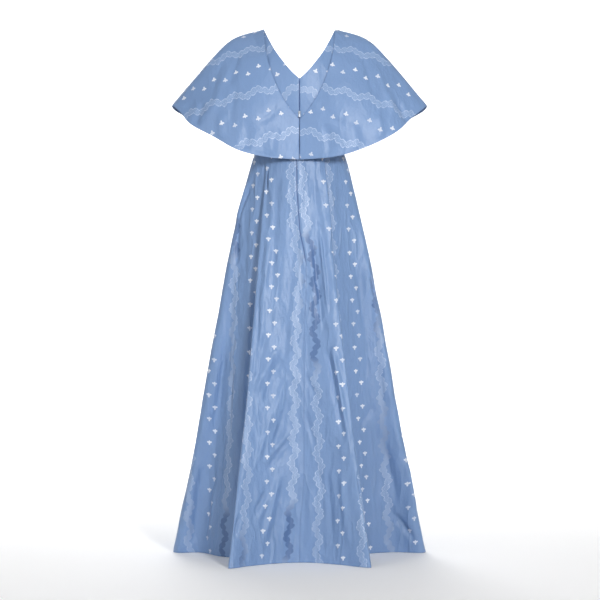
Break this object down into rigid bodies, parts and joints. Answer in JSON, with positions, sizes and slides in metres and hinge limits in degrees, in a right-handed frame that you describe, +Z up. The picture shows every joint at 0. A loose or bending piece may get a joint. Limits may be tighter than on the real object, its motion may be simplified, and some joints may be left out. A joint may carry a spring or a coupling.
{
  "type": "capelet gown",
  "caption": "Floor-length gored gown with a fitted sleeveless V-neck bodice, a flared capelet over the shoulders and a centre back zip.",
  "frame": {"origin": "midway between the high points of the two shoulder seams, at their height, where the wearer's shoulders carry the gown", "axes": "+Z up, -Y the front of the gown, +X the wearer's left"},
  "size_m": [0.716, 0.518, 1.4669],
  "materials": {
    "silk": "crisp blue taffeta with a tonal woven figure and small pale sprigs",
    "tape": "plain woven tape",
    "nickel": "bright nickel"
  },
  "bodies": {
    "root": {"skirt_back_left": "silk", "skirt_side_left": "silk", "skirt_front": "silk", "skirt_side_right": "silk", "skirt_back_right": "silk", "bodice_back_left": "silk", "bodice_front": "silk", "bodice_back_right": "silk", "capelet_back_left": "silk", "capelet_front": "silk", "capelet_back_right": "silk", "zip_tape": "tape", "zip_slider": "nickel"},
    "pull": {"zip_pull": "nickel"}
  },
  "joints": [
    {"name": "pull_swing", "type": "hinge", "parent": "root", "child": "pull", "pos_m": [0, 0.10519, -0.24345], "axis": [1, 0, 0], "range_deg": [0, 160]}
  ]
}
